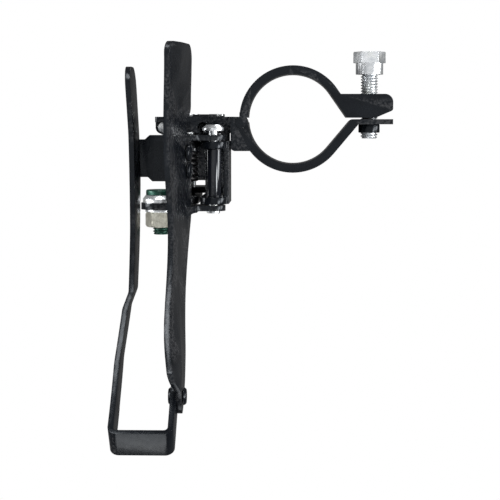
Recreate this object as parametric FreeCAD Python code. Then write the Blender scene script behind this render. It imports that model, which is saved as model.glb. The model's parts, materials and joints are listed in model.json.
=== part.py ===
import FreeCAD, Part
import math
import os

"""Bicycle front derailleur: band clamp, four-bar linkage and chain cage.

Millimetres. The origin is on the seat tube's axis at the middle of the clamp band.
+Z runs up the seat tube, +X points outboard to the chainrings and +Y points forward.
Every link pivot is parallel to Y. The cage plates are curved about the bottom bracket axle.
"""

# ---- driving dimensions -------------------------------------------------------------------

# fits
RUNNING_FIT = 0.05          # radial, between a pin and what turns on it
SEAT_FIT = 0.02             # radial, between a pin and the hole that it is fixed in
SIDE_GAP = 0.3              # between faces that move past each other

# band clamp
TUBE_RADIUS = 12.7          # seat tube of 25.4 mm
BAND_WALL = 2.4
BAND_WIDTH = 14.0
CLAMP_GAP = 0.4             # between the strap's lug and the bracket's flange
FLANGE_WALL = 1.45
FLANGE_REACH = 0.6656       # share of the band's radius that the flange stands out, beside the weld nut
STRAP_LEAVES = 35.0         # degrees before the lug at which the strap leaves the tube
BAND_LEAVES = 40.0          # degrees before the flange at which the bracket's band leaves it
LUG_WALL = 1.6
LUG_HEIGHT = 6.7
LUG_CORNER = 2.3
BOLT_INSET = 6.4            # from the flange's end to the clamp bolt

# clamp bolt, M5
CLAMP_THREAD = 5.0
CLAMP_BOLT_LENGTH = 18.2
CLAMP_HEAD_FLATS = 8.0
CLAMP_HEAD_HEIGHT = 3.2
CLAMP_COLLAR_RADIUS = 3.9
CLAMP_COLLAR_HEIGHT = 3.2
CLAMP_BOLT_PROUD = 10.4     # how far the bolt is unscrewed from its seat
WELD_NUT_WALL = 0.55
WELD_NUT_HEIGHT = 2.4

# strap's knuckle, which turns in the bracket's socket
KNUCKLE_RADIUS = 1.7
KNUCKLE_DROP = 0.9
SWING_ROOM = 0.55

# linkage
LINK_LENGTH = 20.0
LINK_WALL = 2.0
LINK_EYE = 3.2
INNER_LINK_EYE = 3.7
CAGE_EYE = 3.4
PIN_RADIUS = 1.25
INNER_PIVOT_X = 22.3
INNER_PIVOT_Z = -11.0
PIVOT_SPREAD_X = 7.6
PIVOT_SPREAD_Z = 2.6
BARREL_RADIUS = 2.25
LINK_WEB = 1.5
WEB_STAND_OFF = 0.7         # how far the inner link's web stands outside its eyes

# stations along Y, front to rear
ARM_FRONT = 0.7
ARM_WALL = 1.6
ARM_DEPTH = 4.7
EAR_WALL = 1.5
CAGE_EAR_FRONT = -4.4
REAR_EAR_FRONT = -19.8
BASE_REAR_EAR = 1.7

# base bracket
ARM_UNDERSIDE = -1.2
ROOF_CLEAR = 4.4
ROOF_WALL = 1.6
BLOCK_OUTER = 17.6
BLOCK_REAR = -9.0
PAD_DROP = 4.5               # of the pad's top edge below the upper inner pin
PAD_HEIGHT = 3.0
BASE_EYE = 3.5

# limit screws, M3
LIMIT_SCREW_RADIUS = 1.5
LIMIT_HEAD_RADIUS = 2.6
LIMIT_HEAD_HEIGHT = 2.0
HIGH_SCREW_X = 37.9
LOW_SCREW_X = 25.8
LIMIT_SCREW_Y = -2.4
BOSS_RADIUS = 1.9
BOSS_DROP = 3.8              # of the high screw's boss below the upper outer pin
LUG_HALF = 0.9               # half of the stop lever's thickness
HIGH_STOP_ANGLE = 46.0       # swing at which the lever meets the high screw
HIGH_STOP_DROP = 5.6         # of the high screw's tip below the upper outer pin

# cable arm and pinch bolt, M5
ANCHOR_OUT = 8.6
ANCHOR_DROP = 6.0
ARM_PLATE_FRONT = -24.3
ARM_PLATE_WALL = 1.9
ARM_EYE = 5.8
ANCHOR_THREAD = 5.0
ANCHOR_HEAD_RADIUS = 4.4
ANCHOR_HEAD_HEIGHT = 1.6
PINCH_RADIUS = 5.3
PINCH_THICKNESS = 2.2
ANCHOR_WASHER_RADIUS = 4.6
ANCHOR_WASHER_THICKNESS = 0.8
ANCHOR_NUT_FLATS = 8.0
ANCHOR_NUT_HEIGHT = 4.4
ANCHOR_END_PROUD = 2.2

# chain cage, about the bottom bracket axle
AXLE_Y = 2.0
AXLE_Z = -126.0
SHEET = 1.4
CAGE_TOP_RADIUS = 113.6
OUTER_LOW_RADIUS = 98.0
INNER_LOW_RADIUS = 91.0
OUTER_NOSE_Y = 14.2
INNER_NOSE_Y = 20.5
TAIL_ANGLE = 53.8
TAIL_STRIP = 8.0
TAIL_INNER_X = 27.9
TAIL_OUTER_X = 45.6
TAIL_BEND = 2.4
BRIDGE_FRONT = -4.4
BRIDGE_REAR = -17.3
BRIDGE_RELIEF = 1.2
BRIDGE_TAB_DROP = 6.5
EAR_BEND = 2.6
RIVET_RADIUS = 1.4
RIVET_HEAD_RADIUS = 2.4
RIVET_HEAD_HEIGHT = 0.8
TAIL_RIVET_ANGLE = 45.0
TAIL_RIVET_RADIUS = 102.3
TAIL_EYE = 4.4
LIP_ROUND = 2.6             # corner at the rear end of the inner plate's lip

# inner plate's web at the front, where the bridge's tab lies on it
WEB_TOP_X = 28.1
WEB_BEND_X = 31.0
WEB_BEND_RADIUS = 99.0
TAB_GAP = 0.5               # between the tab and the web, across the rivets

# sections of the inner plate: angle, then X and radius of the web's top, the bend and the lip
INNER_SECTIONS = (
    (-14.0, 28.6, 114.5, 31.0, 100.0, 32.5, 90.4),
    (-4.0, 28.1, 114.5, 31.0, 99.0, 32.5, 89.8),
    (8.0, 28.0, 114.5, 31.0, 98.9, 32.5, 89.8),
    (20.0, 28.2, 113.0, 30.2, 98.6, 31.2, 89.6),
    (31.0, 28.2, 110.0, 29.7, 98.4, 31.2, 89.6),
    (39.0, TAIL_INNER_X, 108.0, 28.5, 97.2, 31.1, 89.6),
    (43.5, TAIL_INNER_X, 107.5, TAIL_INNER_X, 96.0, 30.4, 89.6),
    (51.0, TAIL_INNER_X, 107.5, TAIL_INNER_X, 96.0, 29.6, 89.6),
)

# top edges of the plates: angle, radius from the axle and the rounding of the corner
INNER_TOP_EDGE = (
    (0.3, 113.6, 3.0), (0.9, 108.8, 2.0), (2.9, 108.8, 1.5), (3.3, 113.4, 0.6),
    (14.6, 113.6, 10.0), (26.0, 107.8, 30.0), (36.0, 107.2, 30.0), (42.6, 106.9, 0.0), (47.2, 97.9, 0.0),
)
OUTER_TOP_EDGE = (
    (9.0, 113.8, 20.0), (20.0, 109.4, 30.0), (31.0, 107.0, 60.0), (40.0, 106.1, 60.0), (49.5, 106.0, 0.0),
)

# return spring
SPRING_WIRE = 0.65
SPRING_COIL_RADIUS = 2.7
SPRING_PITCH = 1.42
SPRING_TURNS = 6

# ---- sizes that follow ----------------------------------------------------------------------

BAND_OUTER = TUBE_RADIUS + BAND_WALL
BAND_HALF = BAND_WIDTH / 2
WELD_NUT_RADIUS = CLAMP_THREAD / 2 + WELD_NUT_WALL
FLANGE_END_X = -BAND_OUTER * (1 + FLANGE_REACH) - WELD_NUT_RADIUS
BOLT_X = FLANGE_END_X + BOLT_INSET
LUG_FLOOR = CLAMP_GAP
LUG_FLOOR_TOP = LUG_FLOOR + BAND_WALL - 0.5

KNUCKLE_X = TUBE_RADIUS + KNUCKLE_RADIUS + 0.2
KNUCKLE_Y = -KNUCKLE_DROP

CAGE_INNER = (INNER_PIVOT_X, INNER_PIVOT_Z)
CAGE_OUTER = (INNER_PIVOT_X + PIVOT_SPREAD_X, INNER_PIVOT_Z + PIVOT_SPREAD_Z)
BASE_INNER = (CAGE_INNER[0], CAGE_INNER[1] + LINK_LENGTH)
BASE_OUTER = (CAGE_OUTER[0], CAGE_OUTER[1] + LINK_LENGTH)
ANCHOR = (BASE_OUTER[0] + ANCHOR_OUT, BASE_OUTER[1] - ANCHOR_DROP)

ARM_REAR = ARM_FRONT - ARM_DEPTH
ARM_WALL_REAR = ARM_FRONT - ARM_WALL
CAGE_EAR_REAR = CAGE_EAR_FRONT - EAR_WALL
LINK_FRONT = CAGE_EAR_REAR - SIDE_GAP
LINK_FRONT_INSIDE = LINK_FRONT - LINK_WALL
REAR_EAR_REAR = REAR_EAR_FRONT - BASE_REAR_EAR
LINK_REAR_INSIDE = REAR_EAR_REAR - SIDE_GAP
LINK_REAR = LINK_REAR_INSIDE - LINK_WALL
CAGE_REAR_EAR_FRONT = LINK_REAR - SIDE_GAP
CAGE_REAR_EAR_REAR = CAGE_REAR_EAR_FRONT - EAR_WALL
ROOF_UNDER = BASE_OUTER[1] + ROOF_CLEAR
ROOF_TOP = ROOF_UNDER + ROOF_WALL
BRIDGE_TOP = AXLE_Z + CAGE_TOP_RADIUS
BRIDGE_UNDER = BRIDGE_TOP - SHEET
WEB_LEAN = (WEB_BEND_X - WEB_TOP_X) / (CAGE_TOP_RADIUS - WEB_BEND_RADIUS)
BRIDGE_TAB_X = WEB_TOP_X + SHEET * math.hypot(1, WEB_LEAN) + TAB_GAP


# ---- helpers ----------------------------------------------------------------------------------

def vec(x, y, z):
    return FreeCAD.Vector(x, y, z)


def in_plane(plane, a, b, level):
    """Point (a, b) of a plane named XY, XZ or YZ, at a level along the third axis."""
    if plane == "XY":
        return vec(a, b, level)
    if plane == "XZ":
        return vec(a, level, b)
    return vec(level, a, b)


def along(plane, distance):
    return {"XY": vec(0, 0, distance), "XZ": vec(0, distance, 0), "YZ": vec(distance, 0, 0)}[plane]


def rounded_wire(corners, plane, level):
    """Closed wire through (a, b) or (a, b, radius) corners, with an arc at each radius."""
    spots = [in_plane(plane, corner[0], corner[1], level) for corner in corners]
    radii = [corner[2] if len(corner) > 2 else 0.0 for corner in corners]
    count = len(spots)
    bends = []
    for i in range(count):
        before = (spots[i - 1] - spots[i]).normalize()
        after = (spots[(i + 1) % count] - spots[i]).normalize()
        half = before.getAngle(after) / 2
        setback = radii[i] / math.tan(half)
        start = spots[i] + before * setback
        end = spots[i] + after * setback
        middle = spots[i]
        if radii[i] > 0:
            inward = (before + after).normalize()
            middle = spots[i] + inward * (radii[i] / math.sin(half) - radii[i])
        bends.append((start, middle, end))
    edges = []
    for i in range(count):
        start, middle, end = bends[i]
        if radii[i] > 0:
            edges.append(Part.Arc(start, middle, end).toShape())
        following = bends[(i + 1) % count][0]
        if (following - end).Length > 1e-6:
            edges.append(Part.makeLine(end, following))
    return Part.Wire(Part.__sortEdges__(edges))


def plate(corners, plane, level_a, level_b):
    """Flat plate with a rounded outline, between two levels along the plane's normal."""
    face = Part.Face(rounded_wire(corners, plane, level_a))
    return face.extrude(along(plane, level_b - level_a))


def rod(radius, x, z, y_a, y_b):
    """Cylinder parallel to Y."""
    low = min(y_a, y_b)
    return Part.makeCylinder(radius, abs(y_b - y_a), vec(x, low, z), vec(0, 1, 0))


def post(radius, x, y, z_a, z_b):
    """Cylinder parallel to Z."""
    low = min(z_a, z_b)
    return Part.makeCylinder(radius, abs(z_b - z_a), vec(x, y, low), vec(0, 0, 1))


def box(x_a, x_b, y_a, y_b, z_a, z_b):
    corner = vec(min(x_a, x_b), min(y_a, y_b), min(z_a, z_b))
    return Part.makeBox(abs(x_b - x_a), abs(y_b - y_a), abs(z_b - z_a), corner)


def hex_rod(flats, x, z, y_a, y_b):
    """Hexagonal prism parallel to Y, with two flats square to Z."""
    reach = flats / math.sqrt(3)
    corners = []
    for i in range(6):
        angle = math.radians(60 * i)
        corners.append((x + reach * math.cos(angle), z + reach * math.sin(angle)))
    return plate(corners, "XZ", y_a, y_b)


def eyes(first, second, radius):
    """Outline corners of a strap round two eyes, in the XZ plane."""
    (ax, az), (bx, bz) = first, second
    span = math.hypot(bx - ax, bz - az)
    ux, uz = (bx - ax) / span, (bz - az) / span
    corners = []
    for x, z, end, side in ((ax, az, -1, -1), (bx, bz, 1, -1), (bx, bz, 1, 1), (ax, az, -1, 1)):
        cx = x + end * radius * ux + side * radius * -uz
        cz = z + end * radius * uz + side * radius * ux
        corners.append((cx, cz, radius * 0.999))
    return corners


def on_cage(radius, angle, x=0.0):
    """Point at a radius from the axle and an angle in degrees back from straight up."""
    turn = math.radians(angle)
    return vec(x, AXLE_Y - radius * math.sin(turn), AXLE_Z + radius * math.cos(turn))


def sector(low, high, angle_a, angle_b, x_a, x_b):
    """Block of the cage's ring between two radii, two angles and two X planes."""
    a = on_cage(low, angle_a, x_a)
    b = on_cage(high, angle_a, x_a)
    c = on_cage(high, angle_a, x_b)
    d = on_cage(low, angle_a, x_b)
    face = Part.Face(Part.makePolygon([a, b, c, d, a]))
    return face.revolve(vec(0, AXLE_Y, AXLE_Z), vec(1, 0, 0), angle_b - angle_a)


def round_across(solid, places, radius):
    """Fillet the edges parallel to X that lie nearest the given (y, z) places."""
    chosen = []
    for y, z in places:
        best = None
        for edge in solid.Edges:
            ends = [v.Point for v in edge.Vertexes]
            if len(ends) != 2 or abs(ends[0].y - ends[1].y) > 1e-4 or abs(ends[0].z - ends[1].z) > 1e-4:
                continue
            away = math.hypot(ends[0].y - y, ends[0].z - z)
            if best is None or away < best[0]:
                best = (away, edge)
        chosen.append(best[1])
    return solid.makeFillet(radius, chosen)


def save(shape, name):
    """Write one node, after merging its coplanar faces."""
    clean = shape.removeSplitter()
    for solid in clean.Solids:
        if not solid.isValid():
            print("not valid:", name)
    print(f"{name:24s} solids {len(clean.Solids)} volume {clean.Volume:9.2f}")
    clean.exportStep(f"parts/{name}.step")


# ---- clamp ------------------------------------------------------------------------------------

def band(front, leaves):
    """Half of the clamp band round the tube, up to the angle at which it leaves for the bolt."""
    ring = post(BAND_OUTER, 0, 0, -BAND_HALF, BAND_HALF)
    ring = ring.cut(post(TUBE_RADIUS, 0, 0, -BAND_HALF - 1, BAND_HALF + 1))
    reach = 2 * BAND_OUTER
    side = 1 if front else -1
    turn = math.radians(leaves)
    missing = plate(
        [(0, 0), (-reach * math.cos(turn), side * reach * math.sin(turn)), (-reach, 0)],
        "XY", -reach, reach,
    )
    edge = LUG_FLOOR if front else 0
    half = box(-reach, reach, edge, side * reach, -reach, reach)
    return ring.common(half).cut(missing)


def leaving_line(front, leaves, offset, level):
    """Where the straight run that leaves the tube, or its parallel at an offset, meets a level of Y."""
    side = 1 if front else -1
    turn = math.radians(leaves)
    start_x = -(TUBE_RADIUS + offset) * math.cos(turn)
    start_y = (TUBE_RADIUS + offset) * math.sin(turn)
    run = (start_y - side * level) / math.cos(turn)
    return start_x - run * math.sin(turn), level


def leaving_start(front, leaves, offset):
    side = 1 if front else -1
    turn = math.radians(leaves)
    return -(TUBE_RADIUS + offset) * math.cos(turn), side * (TUBE_RADIUS + offset) * math.sin(turn)


def clamp_strap():
    strap = band(True, STRAP_LEAVES)
    lug_top = LUG_HEIGHT + LUG_FLOOR
    run = plate(
        [leaving_start(True, STRAP_LEAVES, 0), leaving_line(True, STRAP_LEAVES, 0, LUG_FLOOR),
         leaving_line(True, STRAP_LEAVES, BAND_WALL, LUG_FLOOR),
         leaving_start(True, STRAP_LEAVES, BAND_WALL)],
        "XY", -BAND_HALF, BAND_HALF,
    )
    # channel that the bolt passes through, opening forward
    lug_outline = [
        leaving_line(True, STRAP_LEAVES, 0.3, LUG_FLOOR),
        (BOLT_X - 1.5, LUG_FLOOR),
        (FLANGE_END_X, LUG_FLOOR + 2.1, 0.8),
        (FLANGE_END_X, lug_top, LUG_CORNER),
        leaving_line(True, STRAP_LEAVES, BAND_WALL - 0.3, lug_top),
    ]
    lug = plate(lug_outline, "XY", -BAND_HALF, BAND_HALF)
    hollow = plate(
        [leaving_line(True, STRAP_LEAVES, BAND_WALL, LUG_FLOOR_TOP), (FLANGE_END_X - 1, LUG_FLOOR_TOP),
         (FLANGE_END_X - 1, lug_top + 1), leaving_line(True, STRAP_LEAVES, BAND_WALL, lug_top + 1)],
        "XY", -BAND_HALF + LUG_WALL, BAND_HALF - LUG_WALL,
    )
    strap = strap.fuse(run).fuse(lug.cut(hollow))
    strap = strap.cut(rod(CLAMP_THREAD / 2 + 0.3, BOLT_X, 0, LUG_FLOOR - 1, LUG_FLOOR_TOP + 1))
    # knuckle, and the neck that joins it to the band
    knuckle = post(KNUCKLE_RADIUS, KNUCKLE_X, KNUCKLE_Y, -BAND_HALF, BAND_HALF)
    neck = box(KNUCKLE_X - 1.2, BAND_OUTER, KNUCKLE_Y, LUG_FLOOR + 1.5, -BAND_HALF, BAND_HALF)
    hooked = knuckle.fuse(neck).cut(post(TUBE_RADIUS, 0, 0, -BAND_HALF - 1, BAND_HALF + 1))
    return strap.fuse(hooked)


def clamp_bolt():
    seat = LUG_FLOOR_TOP + CLAMP_BOLT_PROUD
    collar_top = seat + CLAMP_COLLAR_HEIGHT
    shank = rod(CLAMP_THREAD / 2, BOLT_X, 0, seat - CLAMP_BOLT_LENGTH, collar_top)
    collar = rod(CLAMP_COLLAR_RADIUS, BOLT_X, 0, seat, collar_top)
    head = hex_rod(CLAMP_HEAD_FLATS, BOLT_X, 0, collar_top, collar_top + CLAMP_HEAD_HEIGHT)
    cap = Part.makeCone(
        CLAMP_HEAD_FLATS / 2 + 2.6, CLAMP_HEAD_FLATS / 2 - 0.2, CLAMP_HEAD_HEIGHT + 0.9,
        vec(BOLT_X, collar_top, 0), vec(0, 1, 0),
    )
    return shank.fuse(collar).fuse(head.common(cap))


def clamp_weld_nut():
    top = -FLANGE_WALL
    nut = rod(WELD_NUT_RADIUS, BOLT_X, 0, top - WELD_NUT_HEIGHT, top)
    return nut.cut(rod(CLAMP_THREAD / 2 + RUNNING_FIT, BOLT_X, 0, top - 5, top + 5))


# ---- base bracket -------------------------------------------------------------------------------

def base_bracket():
    whole = post(TUBE_RADIUS, 0, 0, -BAND_HALF - 20, BAND_HALF + 20)
    base = band(False, BAND_LEAVES)
    # the band runs straight off the tube and turns out into the flange under the strap's lug
    flange = plate(
        [leaving_start(False, BAND_LEAVES, 0), (*leaving_line(False, BAND_LEAVES, 0, 0), 2.0),
         (FLANGE_END_X, 0), (FLANGE_END_X, -FLANGE_WALL),
         (*leaving_line(False, BAND_LEAVES, BAND_WALL, -FLANGE_WALL), 0.4),
         leaving_start(False, BAND_LEAVES, BAND_WALL)],
        "XY", -BAND_HALF, BAND_HALF,
    )
    base = base.fuse(flange)
    base = base.cut(rod(CLAMP_THREAD / 2 + 0.3, BOLT_X, 0, -FLANGE_WALL - 1, 1))

    # block on the band, then the arm that reaches outboard in front of the links
    block = plate(
        [(10.0, ARM_FRONT), (BLOCK_OUTER, ARM_FRONT), (BLOCK_OUTER, BLOCK_REAR, 1.2),
         (10.0, BLOCK_REAR)],
        "XY", -BAND_HALF, BAND_HALF,
    )
    base = base.fuse(block.cut(whole))
    arm_end = HIGH_SCREW_X + BOSS_RADIUS + 0.4
    roof_end = BASE_OUTER[0] + BASE_EYE + 0.3
    wall = plate(
        [(BLOCK_OUTER - 3, ARM_UNDERSIDE, 1.0), (BASE_OUTER[0] + 3.0, ARM_UNDERSIDE, 2.0),
         (BASE_OUTER[0] + 5.0, ARM_UNDERSIDE + 6.5, 2.0), (arm_end, ARM_UNDERSIDE + 6.5, 1.0),
         (arm_end, ROOF_TOP, 1.5), (BLOCK_OUTER + 3, ROOF_TOP, 3.0),
         (BLOCK_OUTER - 3, BAND_HALF, 3.0)],
        "XZ", ARM_WALL_REAR, ARM_FRONT,
    )
    base = base.fuse(wall)
    lip = box(BLOCK_OUTER - 3, BASE_OUTER[0] + 2.5, ARM_REAR, ARM_WALL_REAR,
              ARM_UNDERSIDE, ARM_UNDERSIDE + ARM_WALL)
    base = base.fuse(lip)
    roof = plate(
        [(BLOCK_OUTER + 1.2, ARM_WALL_REAR + 0.5), (roof_end, ARM_WALL_REAR + 0.5),
         (roof_end, REAR_EAR_REAR, 1.5), (BLOCK_OUTER + 1.2, REAR_EAR_REAR, 1.5)],
        "XY", ROOF_UNDER, ROOF_TOP,
    )
    window = box(LOW_SCREW_X - 1.0, LOW_SCREW_X + 3.3, REAR_EAR_FRONT + 0.1, REAR_EAR_FRONT + 1.6,
                 ROOF_UNDER - 1, ROOF_TOP + 1)
    base = base.fuse(roof.cut(window))

    # rear ear, which hangs from the roof round both upper pins
    hang = plate(
        [(BASE_INNER[0] - BASE_EYE, ROOF_TOP - 0.5),
         (BASE_INNER[0] - BASE_EYE, BASE_INNER[1] - BASE_EYE, 3.2),
         (BASE_INNER[0] + 2.5, BASE_INNER[1] - BASE_EYE, 3.0),
         (BASE_OUTER[0] + BASE_EYE, BASE_OUTER[1] - BASE_EYE, 3.4),
         (BASE_OUTER[0] + BASE_EYE, ROOF_TOP - 0.5)],
        "XZ", REAR_EAR_REAR, REAR_EAR_FRONT,
    )
    base = base.fuse(hang)

    # bosses for the limit screws
    high_boss = plate(
        [(HIGH_SCREW_X - BOSS_RADIUS, ARM_WALL_REAR + 0.2), (arm_end, ARM_WALL_REAR + 0.2),
         (arm_end, LIMIT_SCREW_Y - BOSS_RADIUS, BOSS_RADIUS),
         (HIGH_SCREW_X - BOSS_RADIUS, LIMIT_SCREW_Y - BOSS_RADIUS, BOSS_RADIUS)],
        "XY", BASE_OUTER[1] - BOSS_DROP, ROOF_TOP,
    )
    base = base.fuse(high_boss)
    # raised pad on the arm's front
    pad_top = BASE_INNER[1] - PAD_DROP
    pad = box(BASE_INNER[0] - 0.3, BASE_INNER[0] + 6.5, ARM_FRONT, ARM_FRONT + 0.7,
              pad_top - PAD_HEIGHT, pad_top)
    base = base.fuse(pad)

    for x, z in (BASE_INNER, BASE_OUTER):
        base = base.cut(rod(PIN_RADIUS + SEAT_FIT, x, z, REAR_EAR_REAR - 1, ARM_FRONT + 1))
    for x in (LOW_SCREW_X, HIGH_SCREW_X):
        base = base.cut(post(LIMIT_SCREW_RADIUS + RUNNING_FIT, x, LIMIT_SCREW_Y, -5, ROOF_TOP + 1))

    # socket for the strap's knuckle, with a slanted mouth that lets the strap swing open
    socket = post(KNUCKLE_RADIUS + RUNNING_FIT, KNUCKLE_X, KNUCKLE_Y, -BAND_HALF - 1, BAND_HALF + 1)
    rise = 6.0
    mouth = plate(
        [(KNUCKLE_X - 4.0, KNUCKLE_Y), (KNUCKLE_X + SWING_ROOM, KNUCKLE_Y),
         (KNUCKLE_X + SWING_ROOM + rise, KNUCKLE_Y + rise), (KNUCKLE_X - 4.0, KNUCKLE_Y + rise)],
        "XY", -BAND_HALF - 1, BAND_HALF + 1,
    )
    return base.cut(socket).cut(mouth)


def base_pin(centre):
    """Upper link pin, headed in front of the arm and flush behind the link."""
    x, z = centre
    pin = rod(PIN_RADIUS, x, z, LINK_REAR - 0.3, ARM_FRONT + 0.1)
    head = rod(PIN_RADIUS + 1.1, x, z, ARM_FRONT + 0.02, ARM_FRONT + 0.8)
    return pin.fuse(head)


def limit_screw(x, tip):
    """Screw along Z with a slotted cheese head above the roof."""
    top = ROOF_TOP + 0.1
    screw = post(LIMIT_SCREW_RADIUS, x, LIMIT_SCREW_Y, tip, top)
    head = post(LIMIT_HEAD_RADIUS, x, LIMIT_SCREW_Y, top, top + LIMIT_HEAD_HEIGHT)
    slot = box(x - 4, x + 4, LIMIT_SCREW_Y - 0.3, LIMIT_SCREW_Y + 0.3,
               top + LIMIT_HEAD_HEIGHT - 0.9, top + LIMIT_HEAD_HEIGHT + 1)
    return screw.fuse(head).cut(slot)


# ---- links ------------------------------------------------------------------------------------------

def drilled(shape, centres, radius):
    for x, z in centres:
        shape = shape.cut(rod(radius, x, z, LINK_REAR - 20, 20))
    return shape


def inner_link():
    """Channel with its web on the tube side and an eye at each end of both flanges."""
    web_low = INNER_PIVOT_Z + 0.4
    web_high = BASE_INNER[1] - BASE_EYE - 0.7
    web_x = INNER_PIVOT_X - INNER_LINK_EYE - WEB_STAND_OFF
    flange = eyes(CAGE_INNER, BASE_INNER, INNER_LINK_EYE)
    link = plate(flange, "XZ", LINK_FRONT_INSIDE, LINK_FRONT)
    link = link.fuse(plate(flange, "XZ", LINK_REAR, LINK_REAR_INSIDE))
    for rear, front in ((LINK_FRONT_INSIDE, LINK_FRONT), (LINK_REAR, LINK_REAR_INSIDE)):
        link = link.fuse(box(web_x, INNER_PIVOT_X, rear, front, web_low, web_high))
    link = link.fuse(box(web_x, web_x + LINK_WEB, LINK_REAR, LINK_FRONT, web_low, web_high))
    return drilled(link, (CAGE_INNER, BASE_INNER), PIN_RADIUS + RUNNING_FIT)


def inner_link_barrel():
    x, z = CAGE_INNER
    barrel = rod(BARREL_RADIUS, x, z, LINK_REAR_INSIDE + 0.05, LINK_FRONT_INSIDE - 0.05)
    return barrel.cut(rod(PIN_RADIUS + RUNNING_FIT, x, z, -40, 10))


def outer_link():
    """Channel with its web outboard, a stop lever in front and the cable arm behind."""
    flange = eyes(CAGE_OUTER, BASE_OUTER, LINK_EYE)
    link = plate(flange, "XZ", LINK_FRONT_INSIDE, LINK_FRONT)
    link = link.fuse(plate(flange, "XZ", LINK_REAR, LINK_REAR_INSIDE))
    web_x = CAGE_OUTER[0] + LINK_EYE - LINK_WEB
    web = box(web_x, web_x + LINK_WEB, LINK_REAR, LINK_FRONT,
              CAGE_OUTER[1] + SPRING_COIL_RADIUS + 1.2, BASE_OUTER[1] - BASE_EYE - 0.7)
    link = link.fuse(web)

    # stop lever, on a hub in front of the front flange
    ax, az = BASE_OUTER
    lever_front = ARM_WALL_REAR - SIDE_GAP
    lever_rear = LIMIT_SCREW_Y - 1.2
    link = link.fuse(rod(LINK_EYE - 0.4, ax, az, LINK_FRONT - 0.5, lever_front))
    low_x = LOW_SCREW_X - ax
    low_lug = plate(
        [(ax, az - 1.0), (ax, az + 1.0), (ax + low_x - 1.2, az + 1.0, 0.6),
         (ax + low_x - 1.2, az - 0.8, 0.6)],
        "XZ", lever_rear, lever_front,
    )
    link = link.fuse(low_lug)
    reach_x, reach_z = high_lug_at_rest()
    run = math.hypot(reach_x, reach_z)
    ux, uz = reach_x / run, reach_z / run
    corners = []
    for step, side in ((0, -1), (run + 0.9, -1), (run + 0.9, 1), (0, 1)):
        px = ax + ux * step - uz * side * LUG_HALF
        pz = az + uz * step + ux * side * LUG_HALF
        corners.append((px, pz, 0.5 if step else 0.0))
    link = link.fuse(plate(corners, "XZ", lever_rear, lever_front))

    # cable arm, joggled rearwards clear of the cage's ear
    arm_rear = ARM_PLATE_FRONT - ARM_PLATE_WALL
    end_x = ANCHOR[0] + ARM_EYE
    strip = plate(
        [(ax - 2.0, LINK_REAR_INSIDE), (ax + 1.3, LINK_REAR_INSIDE, 0.8), (ax + 3.0, ARM_PLATE_FRONT, 0.8),
         (end_x, ARM_PLATE_FRONT), (end_x, arm_rear), (ax + 2.2, arm_rear, 0.8),
         (ax + 0.5, LINK_REAR, 0.8), (ax - 2.0, LINK_REAR)],
        "XY", ANCHOR[1] - ARM_EYE, az + LINK_EYE,
    )
    side = plate(
        [(ax - 2.0, az - LINK_EYE), (ANCHOR[0] - 3.5, ANCHOR[1] - ARM_EYE, 2.0),
         (end_x, ANCHOR[1] - ARM_EYE, ARM_EYE * 0.98), (end_x, ANCHOR[1] + ARM_EYE, ARM_EYE * 0.98),
         (ax + 4.6, ANCHOR[1] + ARM_EYE, 2.0), (ax + 2.6, az + LINK_EYE, 1.5), (ax - 2.0, az + LINK_EYE)],
        "XZ", arm_rear - 1, LINK_REAR_INSIDE + 1,
    )
    link = link.fuse(strip.common(side))
    link = drilled(link, (CAGE_OUTER, BASE_OUTER), PIN_RADIUS + RUNNING_FIT)
    return link.cut(rod(ANCHOR_THREAD / 2 + 0.2, ANCHOR[0], ANCHOR[1], arm_rear - 1, ARM_PLATE_FRONT + 1))


def high_lug_at_rest():
    """Place of the high stop lug from the upper outer pin, before the link has swung."""
    touch_x = HIGH_SCREW_X - BASE_OUTER[0]
    touch_z = -HIGH_STOP_DROP
    back = math.radians(-HIGH_STOP_ANGLE)
    x = touch_x * math.cos(back) - touch_z * math.sin(back)
    z = touch_x * math.sin(back) + touch_z * math.cos(back)
    return x, z


# ---- cable anchor -------------------------------------------------------------------------------

def anchor_bolt():
    x, z = ANCHOR
    pinch_front = ARM_PLATE_FRONT + PINCH_THICKNESS
    end = anchor_nut_rear() - ANCHOR_END_PROUD
    head = rod(ANCHOR_HEAD_RADIUS, x, z, pinch_front, pinch_front + ANCHOR_HEAD_HEIGHT)
    rim = [e for e in head.Edges if abs(e.CenterOfMass.y - pinch_front - ANCHOR_HEAD_HEIGHT) < 0.01]
    head = head.makeFillet(0.5, rim)
    key = hex_rod(4.0, x, z, pinch_front + 0.5, pinch_front + ANCHOR_HEAD_HEIGHT + 1)
    return rod(ANCHOR_THREAD / 2, x, z, end, pinch_front + 0.3).fuse(head.cut(key))


def pinch_washer():
    """Cast plate with an arched, grooved front face under the bolt's head."""
    x, z = ANCHOR
    back = ARM_PLATE_FRONT
    disc = rod(PINCH_RADIUS, x, z, back, back + PINCH_THICKNESS)
    groove = Part.makeCylinder(0.7, 14, vec(x - 3.4, back, z - 7), vec(0, 0, 1))
    bevel = Part.makeCone(PINCH_RADIUS + 0.9, PINCH_RADIUS - 1.1, PINCH_THICKNESS + 0.4,
                          vec(x, back, z), vec(0, 1, 0))
    return disc.common(bevel).cut(groove).cut(rod(ANCHOR_THREAD / 2 + 0.2, x, z, back - 1, back + 5))


def anchor_washer():
    x, z = ANCHOR
    front = ARM_PLATE_FRONT - ARM_PLATE_WALL
    disc = rod(ANCHOR_WASHER_RADIUS, x, z, front - ANCHOR_WASHER_THICKNESS, front)
    return disc.cut(rod(ANCHOR_THREAD / 2 + 0.2, x, z, front - 5, front + 5))


def anchor_nut_rear():
    return ARM_PLATE_FRONT - ARM_PLATE_WALL - ANCHOR_WASHER_THICKNESS - ANCHOR_NUT_HEIGHT


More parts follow.
